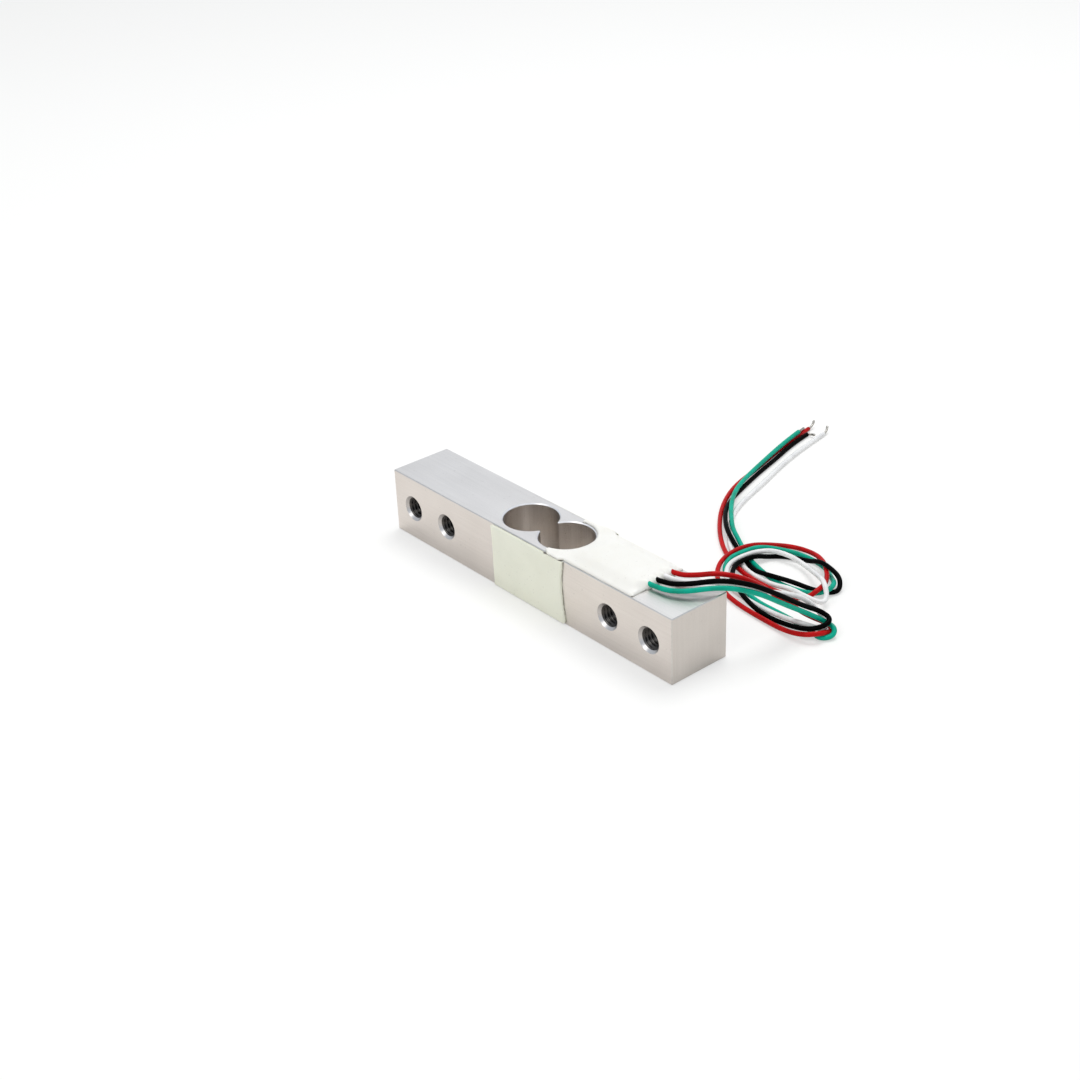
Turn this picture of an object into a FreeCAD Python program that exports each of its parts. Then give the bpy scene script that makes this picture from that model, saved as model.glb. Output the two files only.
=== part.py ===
import FreeCAD, Part
import math
import os

import Sketcher

# A single point load cell: a square aluminium bar with a binocular hole through it, strain
# gauges on its two thin-walled sides, a terminal board and four leads, sealed in silicone.
#
# Frame, in millimetres: the bar lies along X, with the leads leaving at its +X end. The side
# called front faces -Y. The binocular hole runs along Z and the tapped holes run along Y.
# The origin is at the bottom centre of the bar.

SIZES = {
    # bar
    "beam_length": 75.0,
    "beam_width": 12.7,
    "beam_height": 12.7,
    "edge_break": 0.15,
    # binocular hole: two round lobes that run into each other
    "lobe_radius": 5.1,
    "lobe_spacing": 9.6,
    "lobe_rim_break": 0.2,
    "cusp_round": 0.25,
    # tapped mounting holes, two near each end
    "bore_diameter": 3.3,
    "bore_spacing": 10.0,
    "bore_end_distance": 5.5,
    "sink_diameter": 5.0,
    "sink_depth": 0.5,
    # strain gauges: a film, and on it a foil grid with two solder tabs
    "film_length": 6.4,
    "film_width": 4.4,
    "film_thickness": 0.1,
    "foil_thickness": 0.06,
    "leg_count": 6,
    "leg_length": 3.0,
    "leg_width": 0.2,
    "leg_pitch": 0.42,
    "grid_setback": 1.0,
    "tab_length": 1.2,
    "tab_width": 0.9,
    "tab_gap": 0.5,
    "tab_offset": 1.5,
    "dot_diameter": 0.7,
    "dot_height": 0.3,
    # enamelled wires from the gauges over the bar's upper edges to the board
    "jumper_diameter": 0.2,
    "jumper_lift": 0.05,
    "jumper_pitch": 0.6,
    "jumper_edge_x": 8.2,
    "jumper_detour": 0.35,
    # terminal board
    "board_length": 9.5,
    "board_width": 8.2,
    "board_thickness": 0.4,
    "board_left": 13.5,
    "board_offset": 0.6,
    "pad_thickness": 0.06,
    "pad_margin": 0.4,
    "lead_pad_length": 2.4,
    "lead_pad_width": 1.2,
    "jumper_pad_length": 1.4,
    "jumper_pad_width": 0.7,
    "jumper_pad_pitch": 1.1,
    # leads and their stripped, tinned ends
    "lead_diameter": 0.9,
    "core_diameter": 0.5,
    "lead_pitch": 1.8,
    "lead_lift": 0.75,
    "lead_start": 24.4,
    "near_strip": 3.0,
    "far_strip": 4.6,
    "joint_diameter": 1.5,
    "joint_height": 0.66,
    # silicone sealant
    "side_sealant_thickness": 0.5,
    "side_sealant_left": -8.1,
    "side_sealant_right": 10.9,
    "side_sealant_margin": 0.25,
    "side_sealant_corner": 0.9,
    "bridge_left": 7.4,
    "top_sealant_thickness": 0.45,
    "top_sealant_front_x": 6.8,
    "top_sealant_back_x": 3.0,
    "top_sealant_end": 28.0,
    "top_sealant_margin": 0.15,
    "rim_gap": 0.3,
    "sealant_round": 0.25,
    "mound_margin": 0.9,
    "mound_height": 1.1,
    "mound_taper": 30.0,
    "mound_round": 0.35,
}

# Height of a lead's centre line: on the bench, over one other lead and over two.
BENCH = 0.5
OVER_ONE = 1.5
OVER_TWO = 2.5

# Each lead's route after its start in the sealant: over the bar's end with 3 mm to spare,
# round a tight first bend on the bench, back behind the bar, over its own far stretch,
# round a second bend and away. Where leads cross, each keeps to its own height.
LEAD_ROUTES = {
    "green": [
        (29.3, -2.1, 13.45), (33.8, -0.8, 15.4), (37.8, 4.6, 17.3), (40.7, 10.0, 13.7),
        (41.9, 15.4, 8.2), (42.3, 20.6, 4.5), (43.8, 24.4, 1.95), (46.5, 24.5, 1.55),
        (47.3, 22.4, 0.6), (45.6, 20.2, BENCH), (42.8, 21.3, BENCH), (39.4, 22.9, BENCH),
        (34.6, 22.5, BENCH), (29.2, 22.2, BENCH), (24.6, 23.8, BENCH), (20.8, 24.3, BENCH),
        (17.6, 26.1, BENCH), (16.6, 28.4, OVER_ONE), (16.4, 32.0, OVER_ONE), (16.9, 36.0, OVER_ONE),
        (19.2, 39.0, BENCH), (24.0, 40.4, BENCH), (29.6, 39.9, BENCH), (33.4, 37.8, BENCH),
        (35.9, 35.5, OVER_ONE), (37.1, 32.6, OVER_ONE), (34.6, 30.6, BENCH), (29.4, 29.7, BENCH),
        (25.4, 30.2, BENCH), (21.2, 31.2, BENCH), (17.4, 32.8, BENCH), (14.6, 34.5, BENCH),
        (12.2, 36.0, 1.2), (9.6, 37.5, OVER_ONE), (6.7, 39.9, OVER_ONE), (3.2, 43.4, 1.4),
        (-0.2, 47.2, OVER_ONE), (-3.3, 52.2, OVER_ONE), (-6.4, 59.4, OVER_ONE), (-9.0, 67.2, OVER_ONE),
        (-10.7, 74.0, OVER_ONE), (-11.5, 78.4, 1.2),
    ],
    "black": [
        (28.9, -0.3, 13.45), (33.1, 1.2, 16.3), (37.2, 5.3, 18.6), (40.2, 10.2, 15.1),
        (41.4, 15.4, 9.6), (41.9, 20.3, 5.9), (42.8, 24.2, 3.5), (45.7, 24.7, 2.8), (46.0, 22.4, 2.2),
        (43.2, 20.3, OVER_ONE), (38.2, 20.5, BENCH), (32.8, 20.1, BENCH), (28.4, 20.6, 1.3),
        (24.8, 22.2, OVER_ONE), (21.2, 24.4, OVER_ONE), (18.9, 27.6, OVER_ONE), (18.6, 31.0, OVER_ONE),
        (18.7, 33.4, OVER_ONE), (19.2, 35.6, BENCH), (21.0, 37.5, BENCH), (24.2, 38.6, BENCH),
        (26.9, 38.6, 1.0), (29.4, 38.3, OVER_TWO), (32.2, 37.9, OVER_TWO), (35.2, 38.3, 1.3),
        (37.6, 36.2, BENCH), (37.1, 33.6, BENCH), (33.8, 32.1, BENCH), (29.8, 31.1, 1.35),
        (25.6, 29.6, OVER_ONE), (21.4, 29.9, BENCH), (17.6, 31.7, BENCH), (14.6, 33.3, BENCH),
        (12.3, 34.6, 1.3), (9.0, 36.4, 1.45), (5.6, 39.1, 1.4), (2.4, 42.6, 1.0), (-0.4, 47.0, BENCH),
        (-2.7, 52.0, BENCH), (-5.5, 59.2, BENCH), (-7.6, 66.8, BENCH), (-8.8, 73.6, BENCH),
        (-9.3, 78.8, BENCH),
    ],
    "white": [
        (28.7, 1.5, 13.45), (32.6, 2.8, 15.6), (36.1, 6.2, 18.0), (39.2, 10.8, 14.3),
        (40.5, 15.6, 10.6), (40.8, 20.2, 7.6), (41.5, 23.5, 5.6), (43.9, 24.5, 4.7), (44.8, 22.7, 2.7),
        (41.8, 21.5, 1.4), (36.0, 21.5, BENCH), (30.2, 21.2, BENCH), (25.6, 21.8, BENCH),
        (22.4, 22.5, 0.6), (19.8, 24.4, 1.6), (17.8, 27.5, OVER_ONE), (17.5, 31.4, OVER_ONE),
        (17.7, 34.6, OVER_ONE), (19.6, 37.1, 1.6), (23.6, 37.4, 1.3), (26.6, 37.0, 1.0),
        (29.8, 36.2, OVER_ONE), (33.0, 34.7, OVER_TWO), (35.8, 33.2, 2.9), (38.2, 31.3, 1.8),
        (38.6, 28.9, 1.3), (35.4, 28.0, 1.9), (31.6, 28.5, 1.6), (27.4, 28.5, BENCH),
        (22.0, 28.5, BENCH), (16.8, 30.5, BENCH), (12.8, 32.8, BENCH), (9.5, 35.9, BENCH),
        (6.5, 39.4, BENCH), (4.1, 43.7, BENCH), (1.6, 48.6, BENCH), (-1.4, 56.4, BENCH),
        (-3.9, 64.0, BENCH), (-5.8, 72.2, BENCH), (-6.8, 79.6, BENCH),
    ],
    "red": [
        (28.5, 3.3, 13.45), (32.0, 4.5, 16.3), (35.6, 6.7, 19.0), (38.3, 10.9, 15.5),
        (39.2, 15.4, 9.7), (39.3, 19.8, 5.2), (40.3, 23.5, 1.8), (42.5, 25.7, BENCH),
        (45.2, 25.3, BENCH), (46.0, 23.0, 0.6), (45.9, 20.8, 1.65), (43.9, 18.8, OVER_ONE),
        (39.8, 18.3, 0.7), (34.0, 18.9, BENCH), (26.8, 19.2, BENCH), (21.2, 21.3, BENCH),
        (17.0, 24.8, 0.9), (15.2, 29.0, OVER_ONE), (15.1, 35.0, OVER_ONE), (16.8, 39.1, BENCH),
        (20.8, 41.8, BENCH), (25.6, 41.6, 1.0), (29.3, 39.9, 1.6), (32.6, 37.2, OVER_ONE),
        (34.9, 34.2, OVER_ONE), (36.0, 31.4, 2.15), (34.8, 28.7, 0.8), (30.4, 27.5, BENCH),
        (24.2, 27.0, BENCH), (18.4, 28.4, BENCH), (12.8, 31.2, BENCH), (8.4, 34.6, BENCH),
        (5.0, 37.9, BENCH), (1.6, 41.8, BENCH), (-1.4, 46.4, BENCH), (-4.0, 51.8, BENCH),
        (-6.9, 59.0, BENCH), (-9.0, 67.0, BENCH), (-10.2, 74.2, BENCH), (-10.9, 79.4, BENCH),
    ],
}

# Where the bare far ends touch down.
FAR_TIPS = {
    "green": (-12.8, 80.9, 0.4),
    "black": (-8.2, 82.4, 0.3),
    "white": (-8.0, 83.6, 0.3),
    "red": (-12.4, 83.0, 0.3),
}

doc = FreeCAD.newDocument("single_point_load_cell")
sheet = doc.addObject("Spreadsheet::Sheet", "Sizes")
for row, (alias, number) in enumerate(SIZES.items(), start=1):
    sheet.set(f"A{row}", alias)
    sheet.set(f"B{row}", str(number))
    sheet.setAlias(f"B{row}", alias)
doc.recompute()

FRONT = -1
BACK = 1


def value(formula):
    """The number that a formula on the sheet's cells gives."""
    return float(sheet.evalExpression(formula))


def size(alias):
    """The number in one cell of the sheet."""
    return float(getattr(sheet, alias))


def bind(feature, **formulas):
    """Tie properties of a feature to formulas on the sheet's cells."""
    for name, formula in formulas.items():
        feature.setExpression(name.replace("__", "."), formula)


def new_body(label):
    body = doc.addObject("PartDesign::Body", label)
    body.Label = label
    return body


def new_sketch(body, name, role, height="0"):
    """A sketch on one of the body's own origin planes, or that far above it."""
    sketch = body.newObject("Sketcher::SketchObject", name)
    plane = next(item for item in body.Origin.OriginFeatures if item.Role == role)
    sketch.AttachmentSupport = [(plane, "")]
    sketch.MapMode = "FlatFace"
    bind(sketch, AttachmentOffset__Base__z=height)
    return sketch


def place_point(sketch, geometry, point, across, up):
    """Hold a point of a sketch at two formulas, measured from the sketch's origin."""
    for kind, formula in (("DistanceX", across), ("DistanceY", up)):
        if formula is None:
            continue
        rule = Sketcher.Constraint(kind, -1, 1, geometry, point, value(formula))
        sketch.setExpression(f"Constraints[{sketch.addConstraint(rule)}]", formula)


def draw_chain(sketch, corners, closed=True):
    """Straight lines through corners, each a pair of formulas, every corner held in place."""
    spots = [FreeCAD.Vector(value(across), value(up), 0) for across, up in corners]
    count = len(corners) if closed else len(corners) - 1
    first = sketch.GeometryCount
    for index in range(count):
        sketch.addGeometry(Part.LineSegment(spots[index], spots[(index + 1) % len(spots)]))
    for index in range(count):
        if closed or index:
            before = first + (index - 1) % count
            sketch.addConstraint(Sketcher.Constraint("Coincident", before, 2, first + index, 1))
        place_point(sketch, first + index, 1, *corners[index])
    return first, first + count - 1


def rectangle(left, right, bottom, top):
    return [(left, bottom), (right, bottom), (right, top), (left, top)]


def pad(body, sketch, length, **settings):
    feature = body.newObject("PartDesign::Pad", f"{body.Name}_pad")
    feature.Profile = sketch
    bind(feature, Length=length)
    for name, setting in settings.items():
        setattr(feature, name, setting)
    doc.recompute()
    return feature


def edge_names(shape, wanted):
    """Names of the edges of a shape that a test picks out."""
    return [f"Edge{place}" for place, edge in enumerate(shape.Edges, start=1) if wanted(edge)]


def all_points(edge, test):
    """True where a test holds at both ends and in the middle of an edge."""
    middle = edge.valueAt((edge.FirstParameter + edge.LastParameter) / 2)
    ends = [vertex.Point for vertex in edge.Vertexes]
    return all(test(point) for point in ends + [middle])


def dress(body, kind, wanted, **formulas):
    """A fillet or chamfer on the edges of the body so far that a test picks out."""
    base = body.Tip
    feature = body.newObject(f"PartDesign::{kind}", f"{body.Name}_{kind.lower()}")
    feature.Base = (base, edge_names(base.Shape, wanted))
    if "Size2" in formulas:
        feature.ChamferType = "Two distances"
    bind(feature, **formulas)
    doc.recompute()
    return feature


def near(number, target):
    return abs(number - target) < 1e-4


def box(label, length, width, height, corner):
    """A block whose lowest corner is held at three formulas."""
    block = doc.addObject("Part::Box", label)
    block.Label = label
    bind(block, Length=length, Width=width, Height=height)
    for axis, formula in zip("xyz", corner):
        block.setExpression(f"Placement.Base.{axis}", formula)
    return block


def round_bar(label, radius, height, foot, axis):
    """A cylinder that stands at three formulas and points along an axis."""
    bar = doc.addObject("Part::Cylinder", label)
    bar.Label = label
    bind(bar, Radius=radius, Height=height)
    bar.Placement.Rotation = FreeCAD.Rotation(FreeCAD.Vector(0, 0, 1), axis)
    for letter, formula in zip("xyz", foot):
        bar.setExpression(f"Placement.Base.{letter}", formula)
    return bar


def solder_mound(label, diameter, height, foot, axis):
    """Solder that has drawn itself up into a low mound, narrower at the top."""
    mound = doc.addObject("Part::Cone", label)
    mound.Label = label
    bind(mound, Radius1=f"{diameter} / 2", Radius2=f"{diameter} * 0.3", Height=height)
    mound.Placement.Rotation = FreeCAD.Rotation(FreeCAD.Vector(0, 0, 1), axis)
    for letter, formula in zip("xyz", foot):
        mound.setExpression(f"Placement.Base.{letter}", formula)
    return mound


def group(label, pieces):
    """Several separate solids kept as one node."""
    bundle = doc.addObject("Part::Compound", label)
    bundle.Label = label
    bundle.Links = pieces
    return bundle


def hollow_out(label, blank, contents):
    """A blank with room in it for the pieces that it encloses."""
    cut = doc.addObject("Part::Cut", label)
    cut.Label = label
    cut.Base = blank
    cut.Tool = group(f"{label}_contents", contents)
    return cut


def rounded_path(points, share=0.45):
    """Straight runs joined by tangent arcs, each arc as large as its two runs allow.

    A corner that hardly turns needs no arc, and the straight run passes through it.
    """
    corners = [FreeCAD.Vector(*point) for point in points]
    edges = []
    radii = []
    start = corners[0]
    for before, corner, after in zip(corners, corners[1:], corners[2:]):
        back = before - corner
        ahead = after - corner
        reach = share * min(back.Length, ahead.Length)
        back.normalize()
        ahead.normalize()
        half_turn = (math.pi - back.getAngle(ahead)) / 2
        if half_turn < 0.01:
            continue
        radius = reach / math.tan(half_turn)
        towards_centre = (back + ahead).normalize()
        centre = corner + towards_centre * math.hypot(reach, radius)
        enter = corner + back * reach
        leave = corner + ahead * reach
        halfway = centre - towards_centre * radius
        edges.append(Part.LineSegment(start, enter).toShape())
        edges.append(Part.Arc(enter, halfway, leave).toShape())
        radii.append(radius)
        start = leave
    edges.append(Part.LineSegment(start, corners[-1]).toShape())
    return Part.Wire(edges), radii


def tube(label, points, diameter):
    """A round wire along a route."""
    path, radii = rounded_path(points)
    first = path.Edges[0]
    circle = Part.Circle(first.valueAt(0), first.tangentAt(0), diameter / 2)
    section = Part.Wire([circle.toShape()])
    shape = path.makePipeShell([section], True, False)
    expected = math.pi * diameter**2 / 4 * path.Length
    drift = abs(shape.Volume / expected - 1)
    if drift > 0.002:
        raise ValueError(f"{label}: the tube's volume is off by {drift:.1%}")
    piece = doc.addObject("Part::Feature", label)
    piece.Label = label
    piece.Shape = shape
    print(f"{label}: length {path.Length:.1f}, smallest bend {min(radii):.2f}")
    return piece


def make_beam():
    """The bar, with the binocular hole, the four tapped holes and its broken edges."""
    body = new_body("beam")
    outline = new_sketch(body, "beam_outline", "XY_Plane")
    half_length = "Sizes.beam_length / 2"
    half_width = "Sizes.beam_width / 2"
    corners = rectangle(f"-{half_length}", half_length, f"-{half_width}", half_width)
    draw_chain(outline, corners)
    pad(body, outline, "Sizes.beam_height")
    dress(body, "Chamfer", lambda edge: True, Size="Sizes.edge_break")

    cut_binocular_hole(body)
    cut_tapped_holes(body)
    return body


def cut_binocular_hole(body):
    sketch = new_sketch(body, "binocular_hole", "XY_Plane")
    half_spacing = size("lobe_spacing") / 2
    radius = size("lobe_radius")
    opening = math.acos(half_spacing / radius)
    up = FreeCAD.Vector(0, 0, 1)
    right = Part.Circle(FreeCAD.Vector(half_spacing, 0, 0), up, radius)
    left = Part.Circle(FreeCAD.Vector(-half_spacing, 0, 0), up, radius)
    sketch.addGeometry(Part.ArcOfCircle(right, opening - math.pi, math.pi - opening))
    sketch.addGeometry(Part.ArcOfCircle(left, opening, 2 * math.pi - opening))
    sketch.addConstraint(Sketcher.Constraint("Coincident", 0, 2, 1, 1))
    sketch.addConstraint(Sketcher.Constraint("Coincident", 1, 2, 0, 1))
    sketch.addConstraint(Sketcher.Constraint("Equal", 0, 1))
    rule = sketch.addConstraint(Sketcher.Constraint("Radius", 0, radius))
    sketch.setExpression(f"Constraints[{rule}]", "Sizes.lobe_radius")
    place_point(sketch, 0, 3, "Sizes.lobe_spacing / 2", "0")
    place_point(sketch, 1, 3, "-Sizes.lobe_spacing / 2", "0")

    pocket = body.newObject("PartDesign::Pocket", "binocular_pocket")
    pocket.Profile = sketch
    pocket.Type = "ThroughAll"
    pocket.Reversed = True
    doc.recompute()

    reach = size("lobe_spacing") / 2 + size("lobe_radius") + 0.1
    height = size("beam_height")

    def on_hole(point):
        return abs(point.x) < reach and math.hypot(point.x, point.y) < reach

    def on_cusp(edge):
        return all_points(edge, lambda point: near(point.x, 0)) and near(edge.Length, height)

    def on_rim(edge):
        level = all_points(edge, lambda point: near(point.z, 0) or near(point.z, height))
        return level and all_points(edge, on_hole)

    dress(body, "Fillet", on_cusp, Radius="Sizes.cusp_round")
    dress(body, "Chamfer", on_rim, Size="Sizes.lobe_rim_break")


def cut_tapped_holes(body):
    """Four bores across the bar at their tapping size, countersunk on both faces."""
    sketch = new_sketch(body, "tapped_holes", "XZ_Plane")
    outer = "Sizes.beam_length / 2 - Sizes.bore_end_distance"
    inner = f"{outer} - Sizes.bore_spacing"
    middle = "Sizes.beam_height / 2"
    for index, across in enumerate((f"-({outer})", f"-({inner})", inner, outer)):
        centre = FreeCAD.Vector(value(across), value(middle), 0)
        normal = FreeCAD.Vector(0, 0, 1)
        sketch.addGeometry(Part.Circle(centre, normal, size("bore_diameter") / 2))
        place_point(sketch, index, 3, across, middle)
        rule = Sketcher.Constraint("Radius", index, size("bore_diameter") / 2)
        name = f"Constraints[{sketch.addConstraint(rule)}]"
        sketch.setExpression(name, "Sizes.bore_diameter / 2")

    pocket = body.newObject("PartDesign::Pocket", "bore_pocket")
    pocket.Profile = sketch
    pocket.Type = "ThroughAll"
    pocket.SideType = "Symmetric"
    doc.recompute()

    radius = size("bore_diameter") / 2
    face = size("beam_width") / 2

    def on_mouth(edge):
        if not isinstance(edge.Curve, Part.Circle) or not near(edge.Curve.Radius, radius):
            return False
        return all_points(edge, lambda point: near(abs(point.y), face))

    flare = "(Sizes.sink_diameter - Sizes.bore_diameter) / 2"
    dress(body, "Chamfer", on_mouth, Size="Sizes.sink_depth", Size2=flare)


def side_name(side):
    return "front" if side == FRONT else "back"


def gauge_centre(end):
    """Along the bar, each gauge sits over the middle of a lobe, where the wall is thinnest."""
    return f"({end} * Sizes.lobe_spacing / 2)"


def make_film(label, side, end):
    """The gauge's backing film, glued to the bar's side."""
    foot = "Sizes.beam_width / 2" if side == BACK else "-Sizes.beam_width / 2 - Sizes.film_thickness"
    corner = (
        f"{gauge_centre(end)} - Sizes.film_length / 2",
        foot,
        "(Sizes.beam_height - Sizes.film_width) / 2",
    )
    return box(label, "Sizes.film_length", "Sizes.film_thickness", "Sizes.film_width", corner)


def ribbon_outline(path, width):
    """Both edges of a ribbon that turns only at right angles."""
    left = []
    right = []
    last = len(path) - 1
    for index, here in enumerate(path):
        into = (here - path[index - 1]) if index else (path[1] - here)
        out = (path[index + 1] - here) if index < last else into
        into = FreeCAD.Vector(into).normalize()
        out = FreeCAD.Vector(out).normalize()
        corner = 1 if (into - out).Length > 0.5 else 0.5
        side = FreeCAD.Vector(-into.y - out.y, into.x + out.x, 0) * (corner * width / 2)
        left.append(here + side)
        right.append(here - side)
    return left + right[::-1]


def grid_path():
    """Centre line of the foil: legs to and fro, with both ends at the solder tabs."""
    legs = int(size("leg_count"))
    far = -size("grid_setback") - size("leg_length") / 2
    close = far + size("leg_length")
    tab = size("tab_offset") - size("tab_length") / 2 + size("leg_width")
    path = []
    across = tab
    for leg in range(legs):
        up = (leg - (legs - 1) / 2) * size("leg_pitch")
        path.append(FreeCAD.Vector(across, up, 0))
        if leg == legs - 1:
            across = tab
        else:
            across = far if leg % 2 == 0 else close
        path.append(FreeCAD.Vector(across, up, 0))
    return path


def make_foil(label, side, end):
    """The measuring grid and its two solder tabs, on top of the film."""
    body = new_body(label)
    outward = side == BACK
    grid = new_sketch(body, f"{label}_grid", "XZ_Plane")
    outline = ribbon_outline(grid_path(), size("leg_width"))
    for here, there in zip(outline, outline[1:] + outline[:1]):
        grid.addGeometry(Part.LineSegment(here, there))
    pad(body, grid, "Sizes.foil_thickness", Reversed=outward)
    tabs = new_sketch(body, f"{label}_tabs", "XZ_Plane")
    left = "Sizes.tab_offset - Sizes.tab_length / 2"
    right = "Sizes.tab_offset + Sizes.tab_length / 2"
    low = "Sizes.tab_gap / 2"
    high = "Sizes.tab_gap / 2 + Sizes.tab_width"
    draw_chain(tabs, rectangle(left, right, low, high))
    draw_chain(tabs, rectangle(left, right, f"-({high})", f"-({low})"))
    pad(body, tabs, "Sizes.foil_thickness", Reversed=outward)
    bind(
        body,
        Placement__Base__x=gauge_centre(end),
        Placement__Base__y=f"{side} * (Sizes.beam_width / 2 + Sizes.film_thickness)",
        Placement__Base__z="Sizes.beam_height / 2",
    )
    return body


def tab_spot(side, end, upper):
    """Where a gauge's tab takes its wire: centre of the tab, on the foil's outer face."""
    rise = size("tab_gap") / 2 + size("tab_width") / 2
    return FreeCAD.Vector(
        end * size("lobe_spacing") / 2 + size("tab_offset"),
        side * (size("beam_width") / 2 + size("film_thickness") + size("foil_thickness")),
        size("beam_height") / 2 + upper * rise,
    )


def jumper_pad_y(side, index):
    """The front wires take the board's front pads, the outermost wire the outermost pad."""
    return f"Sizes.board_offset + {side} * ({index} + 0.5) * Sizes.jumper_pad_pitch"


def jumper_routes(side):
    """Three wires from a side's two gauges to the board, and the link between the gauges."""
    clear = size("jumper_lift") + size("jumper_diameter") / 2
    tab = tab_spot(side, 1, 1)
    level = tab.y + side * clear
    on_bar = size("beam_height") + clear
    on_pad = size("beam_height") + size("board_thickness") + size("pad_thickness") + clear
    middle = size("beam_height") / 2
    above = middle + size("film_width") / 2 + size("jumper_detour")
    below = middle - size("film_width") / 2 - size("jumper_detour")
    close = size("lobe_spacing") / 2 - size("film_length") / 2
    rise = tab.z - middle
    pad_x = size("board_left") + size("pad_margin") + size("jumper_pad_length") / 2
    board_edge = size("board_left")
    shoulder = side * (size("beam_width") / 2 - 0.9)

    def over_the_edge(index):
        """From the bar's side, round its upper edge and across its top to a pad."""
        across = size("jumper_edge_x") + (2 - index) * size("jumper_pitch")
        pad_y = value(jumper_pad_y(side, index))
        return across, [
            (across, level, size("beam_height") - 1.1),
            (across, level, on_bar),
            (across, shoulder, on_bar),
            (across + 2.2, (shoulder + pad_y) / 2, on_bar),
            (board_edge - 0.9, pad_y, on_bar + 0.02),
            (board_edge - 0.2, pad_y, on_pad),
            (pad_x, pad_y, on_pad),
        ]

    crossing, common = over_the_edge(2)
    common = [
        (tab.x, level, tab.z),
        (tab.x + 1.1, level, tab.z + 0.4),
        (crossing, level, above),
    ] + common
    crossing, upper = over_the_edge(1)
    upper = [
        (tab.x, level, tab.z - 2 * rise),
        (tab.x + 1.6, level, tab.z - 2 * rise + 0.3),
        (crossing, level, middle + 1),
    ] + upper
    crossing, lower = over_the_edge(0)
    left = tab_spot(side, -1, -1)
    lower = [
        (left.x, level, left.z),
        (left.x + 2.0, level, left.z - 0.6),
        (close - 0.8, level, below),
        (crossing - 2.0, level, below - 0.1),
        (crossing, level, below + 1.6),
    ] + lower
    link = [
        (left.x, level, tab.z),
        (left.x + 2.0, level, tab.z + 0.7),
        (close - 0.8, level, above),
        (tab.x - 1.1, level, above + 0.1),
        (tab.x, level, above - 0.8),
        (tab.x, level, tab.z + size("jumper_diameter")),
    ]
    return [common, upper, lower, link]


def make_jumpers(side):
    name = side_name(side)
    wires = []
    for index, route in enumerate(jumper_routes(side), start=1):
        wires.append(tube(f"{name}_jumper_{index}", route, size("jumper_diameter")))
    return group(f"{name}_jumpers", wires)


def make_gauge_dots(side, jumpers):
    """Solder on the four tabs of a side, round the ends of the wires."""
    outward = FreeCAD.Vector(0, side, 0)
    name = side_name(side)
    dots = []
    for end in (-1, 1):
        for upper in (-1, 1):
            foot = (
                f"{gauge_centre(end)} + Sizes.tab_offset",
                f"{side} * (Sizes.beam_width / 2 + Sizes.film_thickness + Sizes.foil_thickness)",
                f"Sizes.beam_height / 2 + {upper} * (Sizes.tab_gap + Sizes.tab_width) / 2",
            )
            label = f"{name}_dot_{len(dots) + 1}"
            dots.append(solder_mound(label, "Sizes.dot_diameter", "Sizes.dot_height", foot, outward))
    blank = group(f"{name}_dots", dots)
    return hollow_out(f"{name}_gauge_solder", blank, [jumpers])


def make_board():
    corner = ("Sizes.board_left", "Sizes.board_offset - Sizes.board_width / 2", "Sizes.beam_height")
    sizes = ("Sizes.board_length", "Sizes.board_width", "Sizes.board_thickness")
    return box("terminal_board", *sizes, corner)


def lead_y(index):
    return f"Sizes.board_offset + ({index} - 1.5) * Sizes.lead_pitch"


UP = FreeCAD.Vector(0, 0, 1)
BOARD_TOP = "Sizes.beam_height + Sizes.board_thickness"
PAD_TOP = f"{BOARD_TOP} + Sizes.pad_thickness"
LEAD_PAD_LEFT = "Sizes.board_left + Sizes.board_length - Sizes.pad_margin - Sizes.lead_pad_length"
JUMPER_PAD_LEFT = "Sizes.board_left + Sizes.pad_margin"


def make_pads():
    """Copper on the board: four pads for the leads and six for the gauge wires."""
    pads = []
    for index in range(4):
        corner = (LEAD_PAD_LEFT, f"{lead_y(index)} - Sizes.lead_pad_width / 2", BOARD_TOP)
        sizes = ("Sizes.lead_pad_length", "Sizes.lead_pad_width", "Sizes.pad_thickness")
        pads.append(box(f"lead_pad_{index + 1}", *sizes, corner))
    for side in (FRONT, BACK):
        for index in range(3):
            low = f"{jumper_pad_y(side, index)} - Sizes.jumper_pad_width / 2"
            sizes = ("Sizes.jumper_pad_length", "Sizes.jumper_pad_width", "Sizes.pad_thickness")
            label = f"{side_name(side)}_pad_{index + 1}"
            pads.append(box(label, *sizes, (JUMPER_PAD_LEFT, low, BOARD_TOP)))
    return group("board_pads", pads)


def make_board_dots(jumpers):
    """Solder on the six small pads, round the ends of the gauge wires."""
    dots = []
    for side in (FRONT, BACK):
        for index in range(3):
            across = f"{JUMPER_PAD_LEFT} + Sizes.jumper_pad_length / 2"
            foot = (across, jumper_pad_y(side, index), PAD_TOP)
            label = f"board_dot_{len(dots) + 1}"
            dots.append(solder_mound(label, "Sizes.dot_diameter", "Sizes.dot_height", foot, UP))
    return hollow_out("board_solder", group("board_dots", dots), jumpers)


def make_near_end(colour, index):
    """The stripped end of a lead, lying over its pad."""
    foot = (
        "Sizes.lead_start - Sizes.near_strip",
        lead_y(index),
        "Sizes.beam_height + Sizes.lead_lift",
    )
    along = FreeCAD.Vector(1, 0, 0)
    label = f"{colour}_near_end"
    return round_bar(label, "Sizes.core_diameter / 2", "Sizes.near_strip", foot, along)


def make_joint(colour, index, near_end):
    """The solder that holds a lead's stripped end to its pad."""
    across = f"{LEAD_PAD_LEFT} + Sizes.lead_pad_length / 2"
    foot = (across, lead_y(index), PAD_TOP)
    label = f"{colour}_joint_blank"
    blank = solder_mound(label, "Sizes.joint_diameter", "Sizes.joint_height", foot, UP)
    return hollow_out(f"{colour}_solder_joint", blank, [near_end])


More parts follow.
